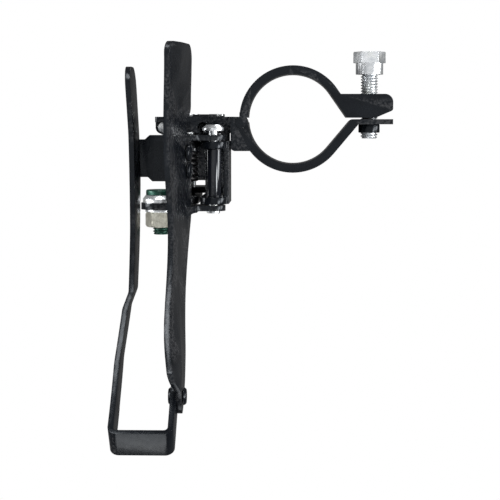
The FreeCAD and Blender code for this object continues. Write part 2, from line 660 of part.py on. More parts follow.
def anchor_nut():
    x, z = ANCHOR
    rear = anchor_nut_rear()
    front = rear + ANCHOR_NUT_HEIGHT
    nut = hex_rod(ANCHOR_NUT_FLATS, x, z, rear, front)
    half = ANCHOR_NUT_FLATS / 2
    height = ANCHOR_NUT_HEIGHT + 0.1
    rear_cone = Part.makeCone(half + 0.1, half + 4.4, height, vec(x, rear, z), vec(0, 1, 0))
    front_cone = Part.makeCone(half + 0.1, half + 4.4, height, vec(x, front, z), vec(0, -1, 0))
    nut = nut.common(rear_cone).common(front_cone)
    return nut.cut(rod(ANCHOR_THREAD / 2 + RUNNING_FIT, x, z, rear - 1, front + 1))


# ---- chain cage -----------------------------------------------------------------------------------

def cage_ear(front, rear, foot_z):
    """Ear across the links' lower ends, joined to the inner plate's web."""
    foot_x = inner_web_x(CAGE_TOP_RADIUS - 4) + 0.6
    corners = [
        (CAGE_INNER[0] - CAGE_EYE, CAGE_INNER[1] + CAGE_EYE, CAGE_EYE * 0.98),
        (CAGE_INNER[0] - CAGE_EYE, CAGE_INNER[1] - CAGE_EYE, CAGE_EYE * 0.98),
        (foot_x - 3.0, CAGE_INNER[1] - CAGE_EYE, 1.5),
        (foot_x - 1.5, foot_z),
        (foot_x + 0.2, foot_z),
        (foot_x + 0.2, BRIDGE_TOP + SIDE_GAP + 0.2),
        (CAGE_OUTER[0] + CAGE_EYE, BRIDGE_TOP + SIDE_GAP + 0.2, 0.8),
        (CAGE_OUTER[0] + CAGE_EYE, CAGE_OUTER[1] + CAGE_EYE, CAGE_EYE * 0.98),
        (CAGE_OUTER[0] - 4.0, CAGE_OUTER[1] + CAGE_EYE, 3.0),
    ]
    return plate(corners, "XZ", rear, front)


def rear_ear_bend():
    """Hollow-faced bend that carries the rear ear round into the inner plate."""
    face_x = inner_web_x(CAGE_TOP_RADIUS - 4)
    low_z = BRIDGE_UNDER - 7.5
    block = box(face_x - EAR_BEND, face_x + 0.8, CAGE_REAR_EAR_REAR - EAR_BEND, CAGE_REAR_EAR_REAR + 0.2,
                low_z, BRIDGE_TOP - 0.6)
    return block.cut(post(EAR_BEND, face_x - EAR_BEND, CAGE_REAR_EAR_REAR - EAR_BEND, low_z - 1, BRIDGE_TOP))


def inner_web_x(radius):
    """Tube-side face of the inner plate's web at the front, by its radius from the axle."""
    share = (CAGE_TOP_RADIUS - radius) / (CAGE_TOP_RADIUS - WEB_BEND_RADIUS)
    return WEB_TOP_X + share * (WEB_BEND_X - WEB_TOP_X)


def inner_section(angle, top_x, top_r, bend_x, bend_r, lip_x, lip_r):
    """Closed bent strip of one section of the inner plate."""
    path = [(top_x, top_r), (bend_x, bend_r), (lip_x, lip_r)]
    normals = []
    for (xa, ra), (xb, rb) in zip(path, path[1:]):
        run = math.hypot(xb - xa, rb - ra)
        normals.append(((ra - rb) / run, (xb - xa) / run))
    near = [(x, r) for x, r in path]
    joint_x = normals[0][0] + normals[1][0]
    joint_r = normals[0][1] + normals[1][1]
    scale = 2 / (joint_x ** 2 + joint_r ** 2)
    far = [
        (path[0][0] + SHEET * normals[0][0], path[0][1] + SHEET * normals[0][1]),
        (path[1][0] + SHEET * joint_x * scale, path[1][1] + SHEET * joint_r * scale),
        (path[2][0] + SHEET * normals[1][0], path[2][1] + SHEET * normals[1][1]),
    ]
    loop = near + far[::-1]
    spots = [on_cage(r, angle, x) for x, r in loop]
    return Part.makePolygon(spots + [spots[0]])


def side_outline(low, top_edge, nose_y, low_round, high_round):
    """Block of the cage seen from the side, from the nose back to the top edge's last angle."""
    nose_angle = -math.degrees(math.asin((nose_y - AXLE_Y) / CAGE_TOP_RADIUS))
    rim = CAGE_TOP_RADIUS / math.cos(math.radians(nose_angle / 4))
    nose_high = on_cage(CAGE_TOP_RADIUS, nose_angle)
    nose_low = vec(0, nose_y, AXLE_Z + low - 12)
    outline = [(nose_low, 0.0), (nose_high, high_round)]
    outline.append((on_cage(rim, nose_angle / 2), 8.0))
    for angle, radius, bend in top_edge:
        outline.append((on_cage(radius, angle), bend))
    outline.append((on_cage(low - 12, top_edge[-1][0]), 0.0))
    outline.append((on_cage(low - 12, 15.0), 0.0))
    corners = [(spot.y, spot.z, bend) for spot, bend in outline]
    block = plate(corners, "YZ", 20, 50)
    bore = Part.makeCylinder(low, 40, vec(15, AXLE_Y, AXLE_Z), vec(1, 0, 0))
    tip_z = AXLE_Z + math.sqrt(low ** 2 - (nose_y - AXLE_Y) ** 2)
    return round_across(block.cut(bore), [(nose_y, tip_z)], low_round)


def inner_cage_plate():
    body = Part.makeLoft([inner_section(*row) for row in INNER_SECTIONS], True, False)

    # side outline: rounded nose, high front, step down ahead of the ears and a round tail eye
    side = side_outline(INNER_LOW_RADIUS - 1, INNER_TOP_EDGE, INNER_NOSE_Y, 3.0, 5.0)
    lip_end = on_cage(INNER_LOW_RADIUS - 1, INNER_TOP_EDGE[-1][0])
    side = round_across(side, [(lip_end.y, lip_end.z)], LIP_ROUND)
    eye_centre = on_cage(TAIL_RIVET_RADIUS, TAIL_RIVET_ANGLE)
    eye = Part.makeCylinder(TAIL_EYE, 30, vec(20, eye_centre.y, eye_centre.z), vec(1, 0, 0))
    body = body.common(side.fuse(eye))
    # flat seat for the tail bridge's ear
    seat_x = TAIL_INNER_X + SHEET
    body = body.cut(sector(TAIL_RIVET_RADIUS - TAIL_EYE - 0.2, CAGE_TOP_RADIUS, TAIL_RIVET_ANGLE - 4,
                           TAIL_ANGLE, seat_x, seat_x + 3))

    ears = cage_ear(CAGE_EAR_FRONT, CAGE_EAR_REAR, BRIDGE_UNDER - 4.5)
    ears = ears.fuse(cage_ear(CAGE_REAR_EAR_FRONT, CAGE_REAR_EAR_REAR, BRIDGE_UNDER - 7.5))
    body = body.fuse(ears).fuse(rear_ear_bend())
    for x, z in (CAGE_INNER, CAGE_OUTER):
        body = body.cut(rod(PIN_RADIUS + SEAT_FIT, x, z, -40, 20))
    for start in bridge_rivet_places():
        body = body.cut(rivet_hole(start, web_normal()))
    return body.cut(rivet_hole(vec(TAIL_INNER_X, eye_centre.y, eye_centre.z), vec(1, 0, 0)))


def web_normal():
    """Outboard normal of the inner plate's web at the front."""
    return vec(1, 0, WEB_LEAN).normalize()


def bridge_rivet_places():
    """Where the two rivets of the bridge's tab leave the tube side of the inner plate."""
    span = BRIDGE_FRONT - BRIDGE_REAR
    z = BRIDGE_UNDER - BRIDGE_TAB_DROP / 2 - 0.6
    places = []
    for y in (BRIDGE_FRONT - span * 0.38, BRIDGE_REAR + span * 0.25):
        radius = math.hypot(y - AXLE_Y, z - AXLE_Z)
        places.append(vec(inner_web_x(radius), y, z) - web_normal() * 0.2)
    return places


def rivet_hole(start, normal):
    return Part.makeCylinder(RIVET_RADIUS + SEAT_FIT, 12, start - normal * 3, normal)


def outer_strip():
    """Plan of the outer plate: nose flare, straight run, joggle and flared tail."""
    face = [
        (OUTER_NOSE_Y + 3, 45.4), (OUTER_NOSE_Y - 8, 44.8), (-4.0, 44.2), (-30.0, 43.35),
        (-45.3, 43.1), (-49.4, 44.5), (-62.0, TAIL_OUTER_X), (-90.0, TAIL_OUTER_X),
    ]
    bends = (0, 10, 20, 30, 3, 3, 20, 0)
    corners = []
    for (y, x), bend in zip(face, bends):
        corners.append((x, y, bend))
    for (y, x), bend in zip(reversed(face), reversed(bends)):
        corners.append((x - SHEET, y, bend))
    return corners


def outer_cage_plate():
    strip = plate(outer_strip(), "XY", -100, 0)
    side = side_outline(OUTER_LOW_RADIUS, OUTER_TOP_EDGE, OUTER_NOSE_Y, 5.5, 5.5)
    plate_body = strip.common(side)

    # tail: the strip turns inboard across the chain, then forward along the inner plate
    tail = tail_bridge()
    body = plate_body.fuse(tail)

    # top bridge, bent inboard from the plate's top edge, and its tab on the inner plate
    bridge = plate(
        [(43.6, BRIDGE_FRONT - BRIDGE_RELIEF), (41.2, BRIDGE_FRONT - BRIDGE_RELIEF, 0.6),
         (39.9, BRIDGE_FRONT, 0.6), (34.9, BRIDGE_FRONT, 0.8), (34.9, CAGE_EAR_REAR - SIDE_GAP),
         (BRIDGE_TAB_X, CAGE_EAR_REAR - SIDE_GAP), (BRIDGE_TAB_X, BRIDGE_REAR), (39.2, BRIDGE_REAR, 0.6),
         (40.4, BRIDGE_REAR + BRIDGE_RELIEF, 0.6), (43.6, BRIDGE_REAR + BRIDGE_RELIEF)],
        "XY", BRIDGE_UNDER, BRIDGE_TOP,
    )
    tab_low = BRIDGE_UNDER - BRIDGE_TAB_DROP
    foot = BRIDGE_TAB_X + WEB_LEAN * (BRIDGE_TOP - tab_low)
    tab = plate(
        [(BRIDGE_TAB_X, BRIDGE_TOP), (BRIDGE_TAB_X + SHEET, BRIDGE_TOP),
         (foot + SHEET, tab_low), (foot, tab_low)],
        "XZ", BRIDGE_REAR, CAGE_EAR_REAR - SIDE_GAP,
    )
    body = body.fuse(bridge).fuse(tab)
    for start in bridge_rivet_places():
        body = body.cut(rivet_hole(start, web_normal()))
    eye = on_cage(TAIL_RIVET_RADIUS, TAIL_RIVET_ANGLE)
    return body.cut(rivet_hole(vec(TAIL_INNER_X, eye.y, eye.z), vec(1, 0, 0)))


def tail_bridge():
    """Strip that crosses behind the chain, with its ear along the inner plate."""
    ear_x = TAIL_INNER_X + SHEET
    start = TAIL_ANGLE - 8.0
    low = OUTER_LOW_RADIUS
    high = OUTER_LOW_RADIUS + TAIL_STRIP
    outer = sector(low, high, start, TAIL_ANGLE, ear_x, TAIL_OUTER_X)
    ends = []
    for x in (ear_x, TAIL_OUTER_X):
        ends.append((on_cage(low, TAIL_ANGLE, x), on_cage(high, TAIL_ANGLE, x)))
    corners = [edge for edge in outer.Edges if joins(edge, ends)]
    outer = outer.makeFillet(TAIL_BEND, corners)
    inset = math.degrees(SHEET / (low + TAIL_STRIP / 2))
    hollow = sector(low - 2, high + 2, start - 1, TAIL_ANGLE - inset, ear_x + SHEET, TAIL_OUTER_X - SHEET)
    ends = []
    for x in (ear_x + SHEET, TAIL_OUTER_X - SHEET):
        ends.append((on_cage(low - 2, TAIL_ANGLE - inset, x), on_cage(high + 2, TAIL_ANGLE - inset, x)))
    corners = [edge for edge in hollow.Edges if joins(edge, ends)]
    hollow = hollow.makeFillet(TAIL_BEND - SHEET, corners)
    strip = outer.cut(hollow)
    # the ear ends in a round eye about the tail rivet
    centre = on_cage(TAIL_RIVET_RADIUS, TAIL_RIVET_ANGLE)
    eye = Part.makeCylinder(TAIL_EYE, SHEET, vec(ear_x, centre.y, centre.z), vec(1, 0, 0))
    return strip.fuse(eye)


def joins(edge, pairs):
    """True where an edge runs between the two points of any pair."""
    tips = [v.Point for v in edge.Vertexes]
    if len(tips) != 2:
        return False
    for a, b in pairs:
        if (tips[0] - a).Length < 0.01 and (tips[1] - b).Length < 0.01:
            return True
        if (tips[0] - b).Length < 0.01 and (tips[1] - a).Length < 0.01:
            return True
    return False


def rivet(start, normal, grip):
    """Rivet with a flat-topped head at each end of its grip."""
    end = start + normal * grip
    shank = Part.makeCylinder(RIVET_RADIUS, grip, start, normal)
    low = Part.makeCone(RIVET_HEAD_RADIUS, RIVET_HEAD_RADIUS - 0.5, RIVET_HEAD_HEIGHT, start, normal * -1)
    high = Part.makeCone(RIVET_HEAD_RADIUS, RIVET_HEAD_RADIUS - 0.5, RIVET_HEAD_HEIGHT, end, normal)
    return shank.fuse(low).fuse(high)


def bridge_rivets():
    pair = []
    for start in bridge_rivet_places():
        pair.append(rivet(start, web_normal(), 2 * SHEET + TAB_GAP + 0.75))
    return Part.makeCompound(pair)


def tail_rivet():
    eye = on_cage(TAIL_RIVET_RADIUS, TAIL_RIVET_ANGLE)
    return rivet(vec(TAIL_INNER_X - 0.2, eye.y, eye.z), vec(1, 0, 0), 2 * SHEET + 0.25)


def cage_pin_inner():
    """Lower inner pin, with a mushroom head that stands off the front ear."""
    x, z = CAGE_INNER
    pin = rod(PIN_RADIUS, x, z, CAGE_REAR_EAR_REAR - 0.5, CAGE_EAR_FRONT + 0.1)
    neck = rod(1.2, x, z, CAGE_EAR_FRONT, -3.0)
    disc = rod(3.05, x, z, -3.2, -2.5)
    dome = Part.makeCone(3.05, 1.9, 0.95, vec(x, -2.5, z), vec(0, 1, 0))
    tail = rod(PIN_RADIUS + 0.6, x, z, CAGE_REAR_EAR_REAR - 0.7, CAGE_REAR_EAR_REAR - 0.02)
    return pin.fuse(neck).fuse(disc).fuse(dome).fuse(tail)


def cage_pin_outer():
    x, z = CAGE_OUTER
    pin = rod(PIN_RADIUS, x, z, CAGE_REAR_EAR_REAR - 0.5, CAGE_EAR_FRONT + 0.5)
    head = rod(PIN_RADIUS + 0.8, x, z, CAGE_EAR_FRONT + 0.02, CAGE_EAR_FRONT + 0.7)
    tail = rod(PIN_RADIUS + 0.6, x, z, CAGE_REAR_EAR_REAR - 0.7, CAGE_REAR_EAR_REAR - 0.02)
    return pin.fuse(head).fuse(tail)


def return_spring():
    """Torsion spring round the lower outer pin, inside the outer link."""
    x, z = CAGE_OUTER
    height = SPRING_PITCH * SPRING_TURNS
    helix = Part.makeHelix(SPRING_PITCH, height, SPRING_COIL_RADIUS)
    start = vec(SPRING_COIL_RADIUS, 0, 0)
    climb = SPRING_PITCH / (2 * math.pi * SPRING_COIL_RADIUS)
    ring = Part.Wire(Part.makeCircle(SPRING_WIRE, start, vec(0, 1, climb)))
    coil = Part.Wire(helix).makePipeShell([ring], True, True)
    coil.rotate(vec(0, 0, 0), vec(1, 0, 0), 90)
    coil.translate(vec(x, LINK_FRONT_INSIDE - SPRING_WIRE - 0.1, z))
    return coil


os.makedirs("parts", exist_ok=True)

save(base_bracket(), "base_bracket")
save(clamp_strap(), "clamp_strap")
save(clamp_bolt(), "clamp_bolt")
save(clamp_weld_nut(), "clamp_weld_nut")
save(base_pin(BASE_INNER), "base_pin_inner")
save(base_pin(BASE_OUTER), "base_pin_outer")
save(limit_screw(LOW_SCREW_X, BASE_OUTER[1] + 1.0 + SIDE_GAP), "low_limit_screw")
save(limit_screw(HIGH_SCREW_X, BASE_OUTER[1] - HIGH_STOP_DROP + LUG_HALF + 0.6), "high_limit_screw")
save(inner_link(), "inner_link")
save(inner_link_barrel(), "inner_link_barrel")
save(outer_link(), "outer_link")
save(anchor_bolt(), "anchor_bolt")
save(pinch_washer(), "pinch_washer")
save(anchor_washer(), "anchor_washer")
save(anchor_nut(), "anchor_nut")
save(inner_cage_plate(), "inner_cage_plate")
save(outer_cage_plate(), "outer_cage_plate")
save(bridge_rivets(), "bridge_rivets")
save(tail_rivet(), "tail_rivet")
save(cage_pin_inner(), "cage_pin_inner")
save(cage_pin_outer(), "cage_pin_outer")
save(return_spring(), "return_spring")
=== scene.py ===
"""Finished look of a bicycle front derailleur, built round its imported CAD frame.

Each sub-assembly is a class that takes its CAD nodes, rounds the edges of the pressed and
turned pieces, adds the threads, coils and serrations that the CAD leaves plain, and dresses
everything in procedural finishes. All lengths are metres, in the frame's own axes: +Z up the
seat tube, +X outboard and +Y forward.
"""

import json
import logging
import math
from dataclasses import dataclass, field
from enum import Enum

import bmesh
import bpy
from mathutils import Matrix, Vector


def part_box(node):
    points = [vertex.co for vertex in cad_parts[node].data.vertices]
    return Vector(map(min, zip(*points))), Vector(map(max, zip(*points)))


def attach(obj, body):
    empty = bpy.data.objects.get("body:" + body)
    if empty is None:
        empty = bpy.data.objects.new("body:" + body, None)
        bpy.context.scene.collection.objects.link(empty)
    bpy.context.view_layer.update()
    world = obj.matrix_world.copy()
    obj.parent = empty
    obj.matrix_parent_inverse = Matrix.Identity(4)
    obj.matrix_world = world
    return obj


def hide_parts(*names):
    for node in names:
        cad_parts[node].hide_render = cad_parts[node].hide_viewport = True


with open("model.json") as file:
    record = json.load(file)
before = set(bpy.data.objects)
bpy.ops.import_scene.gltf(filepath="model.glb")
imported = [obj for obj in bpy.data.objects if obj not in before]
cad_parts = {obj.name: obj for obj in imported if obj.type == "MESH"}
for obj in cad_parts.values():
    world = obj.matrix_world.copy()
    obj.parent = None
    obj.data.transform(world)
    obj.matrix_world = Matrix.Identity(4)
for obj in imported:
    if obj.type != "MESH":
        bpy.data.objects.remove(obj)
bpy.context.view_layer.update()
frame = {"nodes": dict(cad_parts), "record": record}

MM = 0.001
LOG = logging.getLogger("derailleur")


# lays a piece that is made along +Z on the +Y axis, as every bolt, pin and coil here lies
ALONG_Y = Matrix.Rotation(-math.pi / 2, 4, "X")

# the Mix node's two colour inputs and its colour output
MIX_COLOURS = (6, 7)
MIX_RESULT = 2


class Rounding(Enum):
    """Width of the rounding on the edges of each kind of piece."""

    BRACKET = 0.32 * MM
    STRAP_AND_CAGE = 0.42 * MM
    WELD_NUT = 0.3 * MM
    BOLT_AND_NUT = 0.22 * MM
    LINK = 0.28 * MM
    BARREL = 0.12 * MM
    PIN = 0.18 * MM
    ANCHOR_BOLT = 0.2 * MM
    WASHER_AND_RIVET = 0.25 * MM
    ANCHOR_WASHER = 0.15 * MM


# ---- node trees ---------------------------------------------------------------------------


class ShaderBench:
    """Small helper that lays out one material's node tree."""

    def __init__(self, name: str) -> None:
        """Start an empty material with a Principled shader.

        Args:
            name: The material's name.
        """
        self.material = bpy.data.materials.new(name)
        self.material.use_nodes = True
        self.tree = self.material.node_tree
        self.tree.nodes.clear()
        self.output = self.tree.nodes.new("ShaderNodeOutputMaterial")
        self.shader = self.tree.nodes.new("ShaderNodeBsdfPrincipled")
        self.place = self.tree.nodes.new("ShaderNodeTexCoord").outputs["Object"]
        self.link(self.shader.outputs["BSDF"], self.output.inputs["Surface"])

    def link(self, source: bpy.types.NodeSocket, target: bpy.types.NodeSocket) -> None:
        """Join two sockets."""
        self.tree.links.new(source, target)

    def noise(self, scale: float, detail: float, stretch: tuple[float, float, float] = (1, 1, 1)
              ) -> bpy.types.NodeSocket:
        """Noise on the object's own coordinates.

        Args:
            scale: Features per metre.
            detail: Octaves of the noise.
            stretch: Scale along each axis before the noise is read.

        Returns:
            The noise's factor.
        """
        mapping = self.tree.nodes.new("ShaderNodeMapping")
        mapping.inputs["Scale"].default_value = stretch
        self.link(self.place, mapping.inputs["Vector"])
        node = self.tree.nodes.new("ShaderNodeTexNoise")
        node.inputs["Scale"].default_value = scale
        node.inputs["Detail"].default_value = detail
        self.link(mapping.outputs["Vector"], node.inputs["Vector"])
        return node.outputs["Fac"]

    def cells(self, scale: float) -> bpy.types.NodeSocket:
        """Voronoi cells on the object's own coordinates.

        Args:
            scale: Cells per metre.

        Returns:
            The distance to the nearest cell's centre.
        """
        node = self.tree.nodes.new("ShaderNodeTexVoronoi")
        node.inputs["Scale"].default_value = scale
        self.link(self.place, node.inputs["Vector"])
        return node.outputs["Distance"]

    def ramp(self, source: bpy.types.NodeSocket, low: float, high: float, low_out: float = 0.0,
             high_out: float = 1.0) -> bpy.types.NodeSocket:
        """Clamped straight-line map of one range on to another.

        Args:
            source: The value to map.
            low: Value that gives low_out.
            high: Value that gives high_out.
            low_out: Result at and below low.
            high_out: Result at and above high.

        Returns:
            The mapped value.
        """
        node = self.tree.nodes.new("ShaderNodeMapRange")
        node.clamp = True
        for name, value in (("From Min", low), ("From Max", high), ("To Min", low_out), ("To Max", high_out)):
            node.inputs[name].default_value = value
        self.link(source, node.inputs["Value"])
        return node.outputs["Result"]

    def blend(self, factor: bpy.types.NodeSocket, first: tuple | bpy.types.NodeSocket,
              second: tuple | bpy.types.NodeSocket) -> bpy.types.NodeSocket:
        """Mix two colours by a factor.

        Args:
            factor: Share of the second colour.
            first: Colour, or a colour socket, at 0.
            second: Colour, or a colour socket, at 1.

        Returns:
            The mixed colour.
        """
        node = self.tree.nodes.new("ShaderNodeMix")
        node.data_type = "RGBA"
        self.link(factor, node.inputs["Factor"])
        for index, value in zip(MIX_COLOURS, (first, second)):
            if isinstance(value, tuple):
                node.inputs[index].default_value = (*value, 1.0)
            else:
                self.link(value, node.inputs[index])
        return node.outputs[MIX_RESULT]

    def sums(self, operation: str, first: bpy.types.NodeSocket, second: bpy.types.NodeSocket | float
             ) -> bpy.types.NodeSocket:
        """Arithmetic on two values.

        Args:
            operation: Name of the Math node's operation.
            first: The first value.
            second: The second value, which may be a number.

        Returns:
            The result.
        """
        node = self.tree.nodes.new("ShaderNodeMath")
        node.operation = operation
        self.link(first, node.inputs[0])
        if isinstance(second, float):
            node.inputs[1].default_value = second
        else:
            self.link(second, node.inputs[1])
        return node.outputs[0]

    def edges(self, low: float, high: float) -> bpy.types.NodeSocket:
        """Where the surface turns outwards sharply.

        Args:
            low: Pointiness that counts as flat.
            high: Pointiness that counts as an edge.

        Returns:
            0 on flats to 1 on edges.
        """
        node = self.tree.nodes.new("ShaderNodeNewGeometry")
        return self.ramp(node.outputs["Pointiness"], low, high)

    def bumps(self, layers: list[tuple[bpy.types.NodeSocket, float, float]]) -> None:
        """Stack height maps on the shader's normal.

        Args:
            layers: Height socket, depth in metres and strength of each layer, coarse to fine.
        """
        normal = None
        for height, depth, strength in layers:
            node = self.tree.nodes.new("ShaderNodeBump")
            node.inputs["Distance"].default_value = depth
            node.inputs["Strength"].default_value = strength
            self.link(height, node.inputs["Height"])
            if normal is not None:
                self.link(normal, node.inputs["Normal"])
            normal = node.outputs["Normal"]
        self.link(normal, self.shader.inputs["Normal"])

    def fixed(self, **values: float) -> None:
        """Set constants on the shader's sockets.

        Args:
            values: The constants by socket name, with underscores for spaces.
        """
        for name, value in values.items():
            self.shader.inputs[name.replace("_", " ")].default_value = value


# ---- finishes -----------------------------------------------------------------------------


@dataclass(frozen=True)
class BlackCoat:
    """Dipped black paint over pressed steel: orange peel, fine dust and rubbed edges."""

    name: str
    colour: tuple[float, float, float] = (0.0024, 0.0031, 0.0046)
    bloom: tuple[float, float, float] = (0.0050, 0.0062, 0.0086)
    sheen: tuple[float, float, float] = (0.84, 0.92, 1.0)
    roughness: float = 0.18
    spread: float = 0.12
    peel: float = 2200.0
    peel_depth: float = 2.2e-5
    coat: float = 0.08

    def make(self) -> bpy.types.Material:
        """Build the paint's material.

        Returns:
            The material.
        """
        bench = ShaderBench(self.name)
        cloud = bench.noise(260.0, 4.0)
        smear = bench.noise(900.0, 3.0, (1.0, 0.25, 1.0))
        dust = bench.ramp(bench.cells(5200.0), 0.11, 0.03)
        dust_zone = bench.ramp(bench.noise(420.0, 2.0), 0.52, 0.72)
        speck = bench.sums("MULTIPLY", dust, dust_zone)
        patches = bench.ramp(bench.noise(1500.0, 4.0), 0.42, 0.62)
        worn = bench.sums("MULTIPLY", bench.edges(0.535, 0.60), patches)
        tone = bench.blend(bench.ramp(cloud, 0.35, 0.7), self.colour, self.bloom)
        dusty = bench.blend(bench.sums("MULTIPLY", speck, 0.35), tone, (0.10, 0.10, 0.10))
        rubbed = bench.blend(bench.sums("MULTIPLY", worn, 0.22), dusty, (0.16, 0.16, 0.165))
        bench.link(rubbed, bench.shader.inputs["Base Color"])
        rough = bench.ramp(smear, 0.3, 0.75, self.roughness, self.roughness + self.spread)
        rough = bench.sums("ADD", rough, bench.sums("MULTIPLY", speck, 0.25))
        bench.link(rough, bench.shader.inputs["Roughness"])
        bench.fixed(IOR=1.5, Coat_Weight=self.coat, Coat_Roughness=0.12, Specular_IOR_Level=0.2)
        bench.shader.inputs["Specular Tint"].default_value = (*self.sheen, 1.0)
        bench.bumps([
            (bench.noise(self.peel / 4, 2.0), self.peel_depth * 2.0, 0.35),
            (bench.noise(self.peel, 2.0), self.peel_depth, 0.5),
            (speck, 1.5e-5, 0.4),
        ])
        return bench.material


@dataclass(frozen=True)
class ZincPlate:
    """Bright zinc plate on steel: spangled tone, drawn lines and a faint colour shift."""

    name: str
    colour: tuple[float, float, float] = (0.86, 0.88, 0.90)
    shade: tuple[float, float, float] = (0.68, 0.71, 0.74)
    tint: tuple[float, float, float] = (0.82, 0.84, 0.78)
    roughness: float = 0.25
    drawn: tuple[float, float, float] = (1.0, 0.06, 1.0)

    def make(self) -> bpy.types.Material:
        """Build the plate's material.

        Returns:
            The material.
        """
        bench = ShaderBench(self.name)
        bench.fixed(Metallic=0.86, Anisotropic=0.2)
        spangle = bench.noise(700.0, 4.0)
        lines = bench.noise(5200.0, 2.0, self.drawn)
        blush = bench.ramp(bench.noise(240.0, 2.0), 0.5, 0.75)
        tone = bench.blend(bench.ramp(spangle, 0.35, 0.65), self.shade, self.colour)
        tinted = bench.blend(bench.sums("MULTIPLY", blush, 0.45), tone, self.tint)
        grime = bench.ramp(bench.noise(1300.0, 5.0), 0.62, 0.78)
        bench.link(bench.blend(bench.sums("MULTIPLY", grime, 0.4), tinted, (0.30, 0.31, 0.30)),
                   bench.shader.inputs["Base Color"])
        rough = bench.ramp(lines, 0.3, 0.7, self.roughness - 0.06, self.roughness + 0.14)
        bench.link(bench.sums("ADD", rough, bench.sums("MULTIPLY", grime, 0.2)),
                   bench.shader.inputs["Roughness"])
        bench.bumps([(spangle, 1.2e-5, 0.12), (lines, 4e-6, 0.3)])
        return bench.material


@dataclass(frozen=True)
class DyedPlate:
    """Dark dyed plating over steel, rubbed bright on its rims."""

    name: str
    colour: tuple[float, float, float] = (0.004, 0.030, 0.021)
    light: tuple[float, float, float] = (0.012, 0.085, 0.058)
    rubbed: tuple[float, float, float] = (0.22, 0.30, 0.27)
    metal: float = 0.65
    roughness: float = 0.3

    def make(self) -> bpy.types.Material:
        """Build the dyed plate's material.

        Returns:
            The material.
        """
        bench = ShaderBench(self.name)
        bench.fixed(Metallic=self.metal, Coat_Weight=0.3, Coat_Roughness=0.2)
        cloud = bench.noise(800.0, 4.0)
        tone = bench.blend(bench.ramp(cloud, 0.35, 0.7), self.colour, self.light)
        patches = bench.ramp(bench.noise(2400.0, 3.0), 0.35, 0.65)
        rim = bench.sums("MULTIPLY", bench.edges(0.53, 0.60), patches)
        bench.link(bench.blend(bench.sums("MULTIPLY", rim, 0.55), tone, self.rubbed),
                   bench.shader.inputs["Base Color"])
        bench.link(bench.ramp(cloud, 0.3, 0.7, self.roughness - 0.05, self.roughness + 0.15),
                   bench.shader.inputs["Roughness"])
        bench.bumps([(bench.noise(3500.0, 2.0), 1.2e-5, 0.4)])
        return bench.material


@dataclass(frozen=True)
class PaleBackdrop:
    """Matt pale floor."""

    name: str
    colour: tuple[float, float, float] = (0.86, 0.86, 0.86)

    def make(self) -> bpy.types.Material:
        """Build the floor's material.

        Returns:
            The material.
        """
        bench = ShaderBench(self.name)
        bench.shader.inputs["Base Color"].default_value = (*self.colour, 1.0)
        bench.fixed(Roughness=0.9)
        return bench.material


class FinishRack:
    """Every finish of the object, each made once."""

    def __init__(self) -> None:
        """Make the materials."""
        self.black = BlackCoat("black_dip").make()
        self.cage_black = BlackCoat(
            "cage_black", (0.0028, 0.0036, 0.0052), (0.0060, 0.0074, 0.0100), (0.84, 0.92, 1.0), 0.22, 0.12,
            1900.0, 2.6e-5, 0.08).make()
        self.gloss_black = BlackCoat(
            "barrel_gloss", (0.0030, 0.0038, 0.0062), (0.005, 0.006, 0.010), (0.84, 0.92, 1.0), 0.09, 0.05,
            1500.0, 0.6e-5, 0.6).make()
        self.zinc = ZincPlate("bright_zinc").make()
        self.yellow_zinc = ZincPlate(
            "yellow_zinc", (0.74, 0.73, 0.64), (0.50, 0.49, 0.42), (0.72, 0.69, 0.54), 0.30,
            (1.0, 1.0, 1.0)).make()
        self.green = DyedPlate("green_dye").make()
        self.spring = DyedPlate(
            "spring_wire", (0.006, 0.006, 0.007), (0.015, 0.015, 0.017), (0.10, 0.10, 0.11),
            0.35, 0.34).make()


# ---- geometry node makers -------------------------------------------------------------------


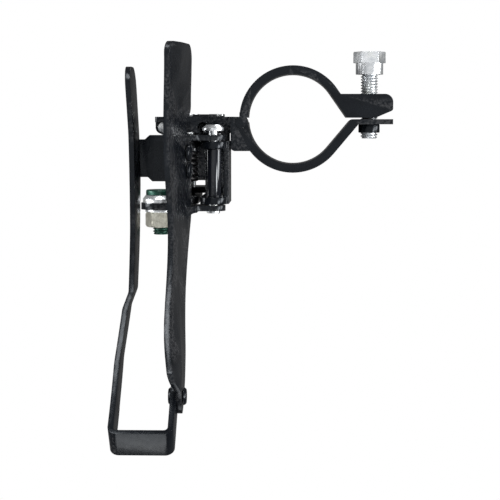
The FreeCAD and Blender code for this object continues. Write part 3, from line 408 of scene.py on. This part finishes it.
class GeometryBench:
    """Small helper that lays out one Geometry Nodes tree and turns its result into a mesh."""

    def __init__(self, name: str) -> None:
        """Start an empty tree with a geometry output.

        Args:
            name: The tree's name.
        """
        self.tree = bpy.data.node_groups.new(name, "GeometryNodeTree")
        self.tree.interface.new_socket("Geometry", in_out="OUTPUT", socket_type="NodeSocketGeometry")
        self.inputs = self.tree.nodes.new("NodeGroupInput")
        self.output = self.tree.nodes.new("NodeGroupOutput")
        self.identifiers: dict[str, str] = {}

    def size(self, name: str, kind: str = "NodeSocketFloat") -> None:
        """Add a named input.

        Args:
            name: The input's name.
            kind: Socket type of the input.
        """
        socket = self.tree.interface.new_socket(name, in_out="INPUT", socket_type=kind)
        self.identifiers[name] = socket.identifier

    def given(self, name: str) -> bpy.types.NodeSocket:
        """Socket that carries a named input's value."""
        return self.inputs.outputs[name]

    def node(self, kind: str, **options: object) -> bpy.types.Node:
        """Add a node.

        Args:
            kind: The node's type.
            options: Its plain options by name.

        Returns:
            The node.
        """
        made = self.tree.nodes.new(kind)
        for name, value in options.items():
            setattr(made, name, value)
        return made

    def link(self, source: bpy.types.NodeSocket, target: bpy.types.NodeSocket) -> None:
        """Join two sockets."""
        self.tree.links.new(source, target)

    def math(self, operation: str, first: object, second: object = 0.0) -> bpy.types.NodeSocket:
        """Arithmetic on numbers or sockets.

        Args:
            operation: Name of the Math node's operation.
            first: Number or socket.
            second: Number or socket.

        Returns:
            The result's socket.
        """
        made = self.node("ShaderNodeMath", operation=operation)
        for index, value in enumerate((first, second)):
            if isinstance(value, (int, float)):
                made.inputs[index].default_value = float(value)
            else:
                self.link(value, made.inputs[index])
        return made.outputs[0]

    def close(self, geometry: bpy.types.NodeSocket) -> None:
        """End the tree with realised instances and a set material.

        Args:
            geometry: What the tree has made.
        """
        self.size("Material", "NodeSocketMaterial")
        real = self.node("GeometryNodeRealizeInstances")
        paint = self.node("GeometryNodeSetMaterial")
        self.link(geometry, real.inputs[0])
        self.link(real.outputs[0], paint.inputs["Geometry"])
        self.link(self.given("Material"), paint.inputs["Material"])
        self.link(paint.outputs[0], self.output.inputs[0])

    def mesh(self, name: str, place: Matrix, **values: object) -> bpy.types.Object:
        """Run the tree and keep its result as a plain mesh object at the origin.

        Args:
            name: Name of the new object.
            place: Where the result goes, baked into its vertices.
            values: The tree's inputs by name, with underscores for spaces.

        Returns:
            The new object.
        """
        holder = bpy.data.objects.new(name + "_maker", bpy.data.meshes.new(name + "_maker"))
        bpy.context.scene.collection.objects.link(holder)
        modifier = holder.modifiers.new("maker", "NODES")
        modifier.node_group = self.tree
        for key, value in values.items():
            modifier[self.identifiers[key.replace("_", " ")]] = value
        graph = bpy.context.evaluated_depsgraph_get()
        made = bpy.data.meshes.new_from_object(holder.evaluated_get(graph))
        holder.modifiers.clear()
        bpy.data.objects.remove(holder)
        made.transform(place)
        made.name = name
        made.validate()
        piece = bpy.data.objects.new(name, made)
        bpy.context.scene.collection.objects.link(piece)
        return piece


class Threads:
    """Rolled screw threads: a tube of rows whose radius follows the helix."""

    depth_share: float = 0.6
    around: int = 65
    rows_per_turn: int = 16

    def __init__(self) -> None:
        """Build the tree once."""
        bench = GeometryBench("rolled_thread")
        for name in ("Radius", "Length", "Pitch", "Depth"):
            bench.size(name)
        bench.size("Around", "NodeSocketInt")
        bench.size("Rows", "NodeSocketInt")
        grid = bench.node("GeometryNodeMeshGrid")
        grid.inputs["Size X"].default_value = 1.0
        grid.inputs["Size Y"].default_value = 1.0
        bench.link(bench.given("Around"), grid.inputs["Vertices X"])
        bench.link(bench.given("Rows"), grid.inputs["Vertices Y"])
        split = bench.node("ShaderNodeSeparateXYZ")
        bench.link(bench.node("GeometryNodeInputPosition").outputs[0], split.inputs[0])
        across, up = split.outputs[0], split.outputs[1]
        angle = bench.math("MULTIPLY", across, 2 * math.pi)
        # the outermost rows fold in to the axis and close the ends
        clipped = bench.math("MINIMUM", bench.math("MAXIMUM", bench.math("MULTIPLY", up, 1.03), -0.5), 0.5)
        height = bench.math("MULTIPLY", clipped, bench.given("Length"))
        turns = bench.math("DIVIDE", height, bench.given("Pitch"))
        phase = bench.math("FRACT", bench.math("ADD", bench.math("SUBTRACT", turns, across), 64.0))
        wave = bench.math("ABSOLUTE", bench.math("SUBTRACT", bench.math("MULTIPLY", phase, 2.0), 1.0))
        shaped = bench.math("MINIMUM", bench.math("MULTIPLY", wave, 1.25), 1.0)
        inset = bench.math("MULTIPLY", shaped, bench.given("Depth"))
        radius = bench.math("SUBTRACT", bench.given("Radius"), inset)
        # chamfer over the last pitch at both ends
        edge = bench.math("SUBTRACT", bench.math("MULTIPLY", bench.given("Length"), 0.5),
                          bench.math("ABSOLUTE", height))
        bound = bench.math("ADD", bench.math("SUBTRACT", bench.given("Radius"), bench.given("Depth")), edge)
        radius = bench.math("MINIMUM", radius, bound)
        closed = bench.math("LESS_THAN", bench.math("ABSOLUTE", up), 0.4999)
        radius = bench.math("MULTIPLY", radius, closed)
        join = bench.node("ShaderNodeCombineXYZ")
        bench.link(bench.math("MULTIPLY", radius, bench.math("COSINE", angle)), join.inputs[0])
        bench.link(bench.math("MULTIPLY", radius, bench.math("SINE", angle)), join.inputs[1])
        bench.link(height, join.inputs[2])
        move = bench.node("GeometryNodeSetPosition")
        bench.link(grid.outputs["Mesh"], move.inputs["Geometry"])
        bench.link(join.outputs[0], move.inputs["Position"])
        weld = bench.node("GeometryNodeMergeByDistance")
        weld.inputs["Distance"].default_value = 1e-6
        bench.link(move.outputs[0], weld.inputs["Geometry"])
        bench.close(weld.outputs[0])
        self.bench = bench

    def cut(self, name: str, place: Matrix, radius: float, length: float, pitch: float,
            material: bpy.types.Material) -> bpy.types.Object:
        """Make one threaded length, centred on its place.

        Args:
            name: Name of the piece.
            place: Its centre and direction; the thread runs along local Z.
            radius: Outside radius.
            length: Length of the thread.
            pitch: Distance from crest to crest.
            material: Finish of the thread.

        Returns:
            The thread's mesh object.
        """
        rows = max(self.rows_per_turn, int(length / pitch * self.rows_per_turn))
        return self.bench.mesh(name, place, Radius=radius, Length=length, Pitch=pitch,
                               Depth=pitch * self.depth_share, Around=self.around, Rows=rows,
                               Material=material)


class Coils:
    """Round wire wound in an even helix."""

    def __init__(self) -> None:
        """Build the tree once."""
        bench = GeometryBench("wound_wire")
        for name in ("Coil Radius", "Wire Radius", "Height", "Turns"):
            bench.size(name)
        spiral = bench.node("GeometryNodeCurveSpiral")
        spiral.inputs["Resolution"].default_value = 40
        bench.link(bench.given("Turns"), spiral.inputs["Rotations"])
        bench.link(bench.given("Coil Radius"), spiral.inputs["Start Radius"])
        bench.link(bench.given("Coil Radius"), spiral.inputs["End Radius"])
        bench.link(bench.given("Height"), spiral.inputs["Height"])
        ring = bench.node("GeometryNodeCurvePrimitiveCircle")
        ring.inputs["Resolution"].default_value = 16
        bench.link(bench.given("Wire Radius"), ring.inputs["Radius"])
        sweep = bench.node("GeometryNodeCurveToMesh")
        sweep.inputs["Fill Caps"].default_value = True
        bench.link(spiral.outputs[0], sweep.inputs["Curve"])
        bench.link(ring.outputs[0], sweep.inputs["Profile Curve"])
        bench.close(sweep.outputs[0])
        self.bench = bench

    def wind(self, name: str, place: Matrix, coil: float, wire: float, height: float, turns: float,
             material: bpy.types.Material) -> bpy.types.Object:
        """Make one coil that starts at its place and climbs along local Z.

        Args:
            name: Name of the piece.
            place: Its start and direction.
            coil: Radius of the coil, to the wire's middle.
            wire: Radius of the wire.
            height: Climb of the whole coil.
            turns: Number of turns.
            material: Finish of the wire.

        Returns:
            The coil's mesh object.
        """
        return self.bench.mesh(name, place, Coil_Radius=coil, Wire_Radius=wire, Height=height, Turns=turns,
                               Material=material)


class Serrations:
    """Small pressed ridges set round a circle, pointing along its radius."""

    def __init__(self) -> None:
        """Build the tree once."""
        bench = GeometryBench("radial_ridges")
        for name in ("Ring Radius", "Ridge Length", "Ridge Width", "Ridge Height"):
            bench.size(name)
        bench.size("Count", "NodeSocketInt")
        ring = bench.node("GeometryNodeCurvePrimitiveCircle")
        bench.link(bench.given("Count"), ring.inputs["Resolution"])
        bench.link(bench.given("Ring Radius"), ring.inputs["Radius"])
        points = bench.node("GeometryNodeCurveToPoints", mode="EVALUATED")
        bench.link(ring.outputs[0], points.inputs["Curve"])
        ridge = bench.node("GeometryNodeMeshCone")
        ridge.inputs["Vertices"].default_value = 4
        ridge.inputs["Radius Top"].default_value = 0.25
        ridge.inputs["Radius Bottom"].default_value = 0.7071
        ridge.inputs["Depth"].default_value = 1.0
        shape = bench.node("GeometryNodeTransform")
        shape.inputs["Rotation"].default_value = (0.0, 0.0, math.pi / 4)
        bench.link(ridge.outputs["Mesh"], shape.inputs["Geometry"])
        scale = bench.node("ShaderNodeCombineXYZ")
        bench.link(bench.given("Ridge Length"), scale.inputs[0])
        bench.link(bench.given("Ridge Width"), scale.inputs[1])
        bench.link(bench.given("Ridge Height"), scale.inputs[2])
        stretch = bench.node("GeometryNodeTransform")
        bench.link(shape.outputs[0], stretch.inputs["Geometry"])
        bench.link(scale.outputs[0], stretch.inputs["Scale"])
        spots = bench.node("GeometryNodeInstanceOnPoints")
        bench.link(points.outputs[0], spots.inputs["Points"])
        bench.link(stretch.outputs[0], spots.inputs["Instance"])
        where = bench.node("ShaderNodeSeparateXYZ")
        bench.link(bench.node("GeometryNodeInputPosition").outputs[0], where.inputs[0])
        spin = bench.node("ShaderNodeCombineXYZ")
        bench.link(bench.math("ARCTAN2", where.outputs[1], where.outputs[0]), spin.inputs[2])
        bench.link(spin.outputs[0], spots.inputs["Rotation"])
        bench.close(spots.outputs[0])
        self.bench = bench

    def press(self, name: str, place: Matrix, ring: float, length: float, width: float, height: float,
              count: int, material: bpy.types.Material) -> bpy.types.Object:
        """Make one ring of ridges, standing along local Z at its place.

        Args:
            name: Name of the piece.
            place: The ring's centre and direction.
            ring: Radius of the ring.
            length: Length of a ridge, along the radius.
            width: Width of a ridge.
            height: Height of a ridge.
            count: Number of ridges.
            material: Finish of the ridges.

        Returns:
            The ring's mesh object.
        """
        return self.bench.mesh(name, place, Ring_Radius=ring, Ridge_Length=length, Ridge_Width=width,
                               Ridge_Height=height, Count=count, Material=material)


# ---- work on CAD nodes ------------------------------------------------------------------------


@dataclass
class Workshop:
    """Shared makers and finishes, and the lookup of each node's body."""

    finishes: FinishRack = field(default_factory=FinishRack)
    threads: Threads = field(default_factory=Threads)
    coils: Coils = field(default_factory=Coils)
    serrations: Serrations = field(default_factory=Serrations)
    neck_share: float = 0.22
    neck_reach: float = 1.02
    weld: float = 2e-6
    flat_turn: float = math.radians(0.6)
    sharp_turn: float = math.radians(32.0)
    rounding_faces: int = 3
    made: int = 0

    def body(self, node: str) -> str:
        """Find a node's body.

        Args:
            node: Name of a CAD node.

        Returns:
            Name of the body that it belongs to.
        """
        for name, nodes in frame["record"]["behaviour"]["bodies"].items():
            if node in nodes:
                return name
        raise KeyError(node)

    def settle(self, piece: bpy.types.Object, node: str, *replaced: str) -> None:
        """Put a finished piece on its node's body.

        Args:
            piece: The finished mesh object.
            node: CAD node that it belongs with.
            replaced: CAD nodes that it stands for.
        """
        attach(piece, self.body(node))
        if replaced:
            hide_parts(*replaced)
        self.made += 1
        LOG.info("%s: %d faces", piece.name, len(piece.data.polygons))

    def rounded(self, node: str, rounding: Rounding, material: bpy.types.Material,
                neck: float | None = None) -> None:
        """Make a copy of a CAD node with rounded edges, which replaces the node.

        Args:
            node: CAD node to copy.
            rounding: Width of the rounding.
            material: Finish of the piece.
            neck: Outside radius of a thread along Y, whose shank shrinks to the thread's root.
        """
        mesh = frame["nodes"][node].data.copy()
        mesh.materials.clear()
        mesh.materials.append(material)
        solid = bmesh.new()
        solid.from_mesh(mesh)
        bmesh.ops.remove_doubles(solid, verts=solid.verts, dist=self.weld)
        bmesh.ops.dissolve_degenerate(solid, dist=self.weld, edges=solid.edges)
        bmesh.ops.dissolve_limit(solid, angle_limit=self.flat_turn, verts=solid.verts, edges=solid.edges)
        if neck is not None:
            self.neck(solid, centre(node), neck)
        for face in solid.faces:
            face.smooth = True
            face.material_index = 0
        solid.to_mesh(mesh)
        solid.free()
        holder = bpy.data.objects.new(node + "_rounding", mesh)
        bpy.context.scene.collection.objects.link(holder)
        bevel = holder.modifiers.new("rounding", "BEVEL")
        bevel.width = rounding.value
        bevel.segments = self.rounding_faces
        bevel.limit_method = "ANGLE"
        bevel.angle_limit = self.sharp_turn
        bevel.miter_outer = "MITER_ARC"
        bevel.use_clamp_overlap = True
        bevel.harden_normals = True
        graph = bpy.context.evaluated_depsgraph_get()
        final = bpy.data.meshes.new_from_object(holder.evaluated_get(graph))
        holder.modifiers.clear()
        bpy.data.objects.remove(holder)
        final.name = node + "_finished"
        piece = bpy.data.objects.new(node + "_finished", final)
        bpy.context.scene.collection.objects.link(piece)
        self.settle(piece, node, node)

    def neck(self, solid: bmesh.types.BMesh, middle: Vector, radius: float) -> None:
        """Draw a round shank along Y in to the root of its thread.

        Args:
            solid: The turned piece.
            middle: A point on its axis.
            radius: Outside radius of the shank; nothing wider is moved.
        """
        for vertex in solid.verts:
            out = Vector((vertex.co.x - middle.x, 0.0, vertex.co.z - middle.z))
            if out.length < radius * self.neck_reach:
                vertex.co = vertex.co - out * self.neck_share


def centre(node: str) -> Vector:
    """Find the middle of a CAD node.

    Args:
        node: Name of the node.

    Returns:
        Middle of the node's box.
    """
    low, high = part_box(node)
    return (Vector(low) + Vector(high)) / 2


# ---- sub-assemblies -----------------------------------------------------------------------------


@dataclass
class BandClamp:
    """Strap, bracket and the bolt that draws them together."""

    thread_radius: float = 2.5 * MM
    pitch: float = 0.8 * MM
    collar_seat: float = 6.4 * MM

    def build(self, shop: Workshop) -> None:
        """Make every piece of the clamp.

        Args:
            shop: Makers and finishes.
        """
        black = shop.finishes.black
        shop.rounded("base_bracket", Rounding.BRACKET, black)
        shop.rounded("clamp_strap", Rounding.STRAP_AND_CAGE, black)
        shop.rounded("clamp_weld_nut", Rounding.WELD_NUT, black)
        shop.rounded("clamp_bolt", Rounding.BOLT_AND_NUT, shop.finishes.zinc, neck=self.thread_radius)
        self.thread(shop)

    def thread(self, shop: Workshop) -> None:
        """Thread the clamp bolt, from its tip to the collar.

        Args:
            shop: Makers and finishes.
        """
        low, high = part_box("clamp_bolt")
        spot = centre("clamp_bolt")
        length = high[1] - self.collar_seat - low[1]
        place = Matrix.Translation((spot.x, low[1] + length / 2, spot.z)) @ ALONG_Y
        thread = shop.threads.cut("clamp_bolt_thread", place, self.thread_radius, length, self.pitch,
                                  shop.finishes.zinc)
        shop.settle(thread, "clamp_bolt")


@dataclass
class Linkage:
    """Links, pins, limit screws and return spring."""

    wire: float = 0.65 * MM
    coil: float = 2.7 * MM
    turns: float = 6.0

    def build(self, shop: Workshop) -> None:
        """Make every piece of the linkage.

        Args:
            shop: Makers and finishes.
        """
        black = shop.finishes.black
        shop.rounded("inner_link", Rounding.LINK, black)
        shop.rounded("outer_link", Rounding.LINK, black)
        shop.rounded("inner_link_barrel", Rounding.BARREL, shop.finishes.gloss_black)
        for node in ("base_pin_inner", "base_pin_outer", "cage_pin_inner", "cage_pin_outer",
                     "low_limit_screw", "high_limit_screw"):
            shop.rounded(node, Rounding.PIN, shop.finishes.zinc)
        self.spring(shop)

    def spring(self, shop: Workshop) -> None:
        """Wind the return spring round the lower outer pin.

        Args:
            shop: Makers and finishes.
        """
        low, high = (Vector(corner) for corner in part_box("return_spring"))
        axis = centre("cage_pin_outer")
        place = Matrix.Translation((axis.x, low.y + self.wire, axis.z)) @ ALONG_Y
        spring = shop.coils.wind("return_spring_coil", place, self.coil, self.wire,
                                 high.y - low.y - 2 * self.wire, self.turns, shop.finishes.spring)
        for face in spring.data.polygons:
            face.use_smooth = True
        shop.settle(spring, "return_spring", "return_spring")


@dataclass
class CableAnchor:
    """Pinch bolt with its serrated washer, plain washer and nut."""

    thread_radius: float = 2.5 * MM
    pitch: float = 0.8 * MM
    ridges: int = 24
    ridge_inset: float = 0.85 * MM
    ridge_drop: float = 0.95 * MM
    ridge_length: float = 1.3 * MM
    ridge_width: float = 0.36 * MM
    ridge_height: float = 0.5 * MM

    def build(self, shop: Workshop) -> None:
        """Make every piece of the anchor.

        Args:
            shop: Makers and finishes.
        """
        shop.rounded("anchor_bolt", Rounding.ANCHOR_BOLT, shop.finishes.green, neck=self.thread_radius)
        shop.rounded("pinch_washer", Rounding.WASHER_AND_RIVET, shop.finishes.zinc)
        self.serrate(shop)
        shop.rounded("anchor_washer", Rounding.ANCHOR_WASHER, shop.finishes.zinc)
        shop.rounded("anchor_nut", Rounding.BOLT_AND_NUT, shop.finishes.yellow_zinc)
        self.thread(shop)

    def thread(self, shop: Workshop) -> None:
        """Thread the anchor bolt, from its tip to the arm.

        Args:
            shop: Makers and finishes.
        """
        low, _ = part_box("anchor_bolt")
        _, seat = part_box("anchor_washer")
        spot = centre("anchor_bolt")
        length = seat[1] - low[1]
        place = Matrix.Translation((spot.x, low[1] + length / 2, spot.z)) @ ALONG_Y
        thread = shop.threads.cut("anchor_bolt_thread", place, self.thread_radius, length, self.pitch,
                                  shop.finishes.green)
        shop.settle(thread, "anchor_bolt")

    def serrate(self, shop: Workshop) -> None:
        """Press ridges round the pinch washer's sloping rim.

        Args:
            shop: Makers and finishes.
        """
        low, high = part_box("pinch_washer")
        spot = centre("pinch_washer")
        rim = (high[0] - low[0]) / 2 - self.ridge_inset
        place = Matrix.Translation((spot.x, high[1] - self.ridge_drop, spot.z)) @ ALONG_Y
        ridges = shop.serrations.press("pinch_washer_ridges", place, rim, self.ridge_length,
                                       self.ridge_width, self.ridge_height, self.ridges, shop.finishes.zinc)
        shop.settle(ridges, "pinch_washer")


@dataclass
class ChainCage:
    """Inner and outer plates with their rivets."""

    def build(self, shop: Workshop) -> None:
        """Make every piece of the cage.

        Args:
            shop: Makers and finishes.
        """
        black = shop.finishes.cage_black
        shop.rounded("inner_cage_plate", Rounding.STRAP_AND_CAGE, black)
        shop.rounded("outer_cage_plate", Rounding.STRAP_AND_CAGE, black)
        shop.rounded("bridge_rivets", Rounding.WASHER_AND_RIVET, black)
        shop.rounded("tail_rivet", Rounding.WASHER_AND_RIVET, black)


@dataclass(frozen=True)
class SoftBox:
    """Round soft box: its place and width in metres, and its power in watts."""

    name: str
    spot: tuple[float, float, float]
    size: float
    power: float


SOFT_BOXES = (
    SoftBox("soft_front", (0.10, 0.62, -0.35), 0.34, 3.2),
    SoftBox("soft_right", (-0.60, -0.10, -0.42), 0.24, 2.6),
    SoftBox("soft_left", (0.62, -0.20, -0.30), 0.30, 1.2),
    SoftBox("soft_rear", (0.05, -0.66, -0.22), 0.42, 1.6),
    SoftBox("soft_above", (-0.25, 0.65, 0.45), 0.40, 2.4),
    SoftBox("rim_right", (-0.70, 0.05, -0.10), 0.36, 3.4),
    SoftBox("rim_left", (0.70, 0.10, -0.10), 0.36, 3.4),
)


@dataclass
class Studio:
    """Camera, lights, backdrop and floor."""

    eye: Vector = field(default_factory=lambda: Vector((0.0, 0.0, -0.42)))
    aim: Vector = field(default_factory=lambda: Vector((0.0123, -0.0377, 0.0)))
    lit: Vector = field(default_factory=lambda: Vector((0.01, -0.03, -0.02)))
    lens: float = 105.0
    sensor: float = 36.0
    floor_drop: float = 0.75
    floor_size: float = 6.0
    ambient: float = 0.13

    def build(self) -> None:
        """Set up the whole studio."""
        bpy.context.scene.view_settings.view_transform = "Standard"
        self.camera()
        self.world()
        self.lights()
        self.floor()

    def camera(self) -> None:
        """Camera below the object, looking up along the seat tube with the front on top."""
        data = bpy.data.cameras.new("camera")
        data.lens = self.lens
        data.sensor_width = self.sensor
        data.clip_start = 0.01
        data.clip_end = 20.0
        camera = bpy.data.objects.new("camera", data)
        bpy.context.scene.collection.objects.link(camera)
        forward = (self.aim - self.eye).normalized()
        right = forward.cross(Vector((0.0, 1.0, 0.0))).normalized()
        up = right.cross(forward)
        turn = Matrix((right, up, -forward)).transposed().to_4x4()
        camera.matrix_world = Matrix.Translation(self.eye) @ turn
        bpy.context.scene.camera = camera

    def world(self) -> None:
        """White surroundings, far dimmer as light than as background."""
        world = bpy.data.worlds.new("studio")
        world.use_nodes = True
        tree = world.node_tree
        tree.nodes.clear()
        seen = tree.nodes.new("ShaderNodeBackground")
        seen.inputs["Color"].default_value = (1, 1, 1, 1)
        seen.inputs["Strength"].default_value = 1.0
        light = tree.nodes.new("ShaderNodeBackground")
        light.inputs["Color"].default_value = (1, 1, 1, 1)
        light.inputs["Strength"].default_value = self.ambient
        path = tree.nodes.new("ShaderNodeLightPath")
        mix = tree.nodes.new("ShaderNodeMixShader")
        out = tree.nodes.new("ShaderNodeOutputWorld")
        tree.links.new(path.outputs["Is Camera Ray"], mix.inputs["Fac"])
        tree.links.new(light.outputs[0], mix.inputs[1])
        tree.links.new(seen.outputs[0], mix.inputs[2])
        tree.links.new(mix.outputs[0], out.inputs["Surface"])
        bpy.context.scene.world = world

    def lights(self) -> None:
        """Hang every soft box, turned to the object."""
        for box in SOFT_BOXES:
            data = bpy.data.lights.new(box.name, "AREA")
            data.shape = "DISK"
            data.size = box.size
            data.energy = box.power
            light = bpy.data.objects.new(box.name, data)
            bpy.context.scene.collection.objects.link(light)
            place = Vector(box.spot)
            light.location = place
            light.rotation_euler = (self.lit - place).to_track_quat("-Z", "Y").to_euler()

    def floor(self) -> None:
        """Plain pale floor, far below the object."""
        half = self.floor_size / 2
        mesh = bpy.data.meshes.new("floor")
        corners = [(-half, -half), (half, -half), (half, half), (-half, half)]
        mesh.from_pydata([(x, y, -self.floor_drop) for x, y in corners], [], [(0, 1, 2, 3)])
        mesh.materials.append(PaleBackdrop("pale_floor").make())
        floor = bpy.data.objects.new("floor", mesh)
        bpy.context.scene.collection.objects.link(floor)


def main() -> None:
    """Build the sub-assemblies in order and report what was made."""
    logging.basicConfig(level=logging.INFO, format="%(name)s: %(message)s")
    shop = Workshop()
    for part in (BandClamp(), Linkage(), CableAnchor(), ChainCage()):
        part.build(shop)
        LOG.info("%s done", type(part).__name__)
    Studio().build()
    LOG.info("%d pieces in all", shop.made)


if __name__ == "__main__":
    main()
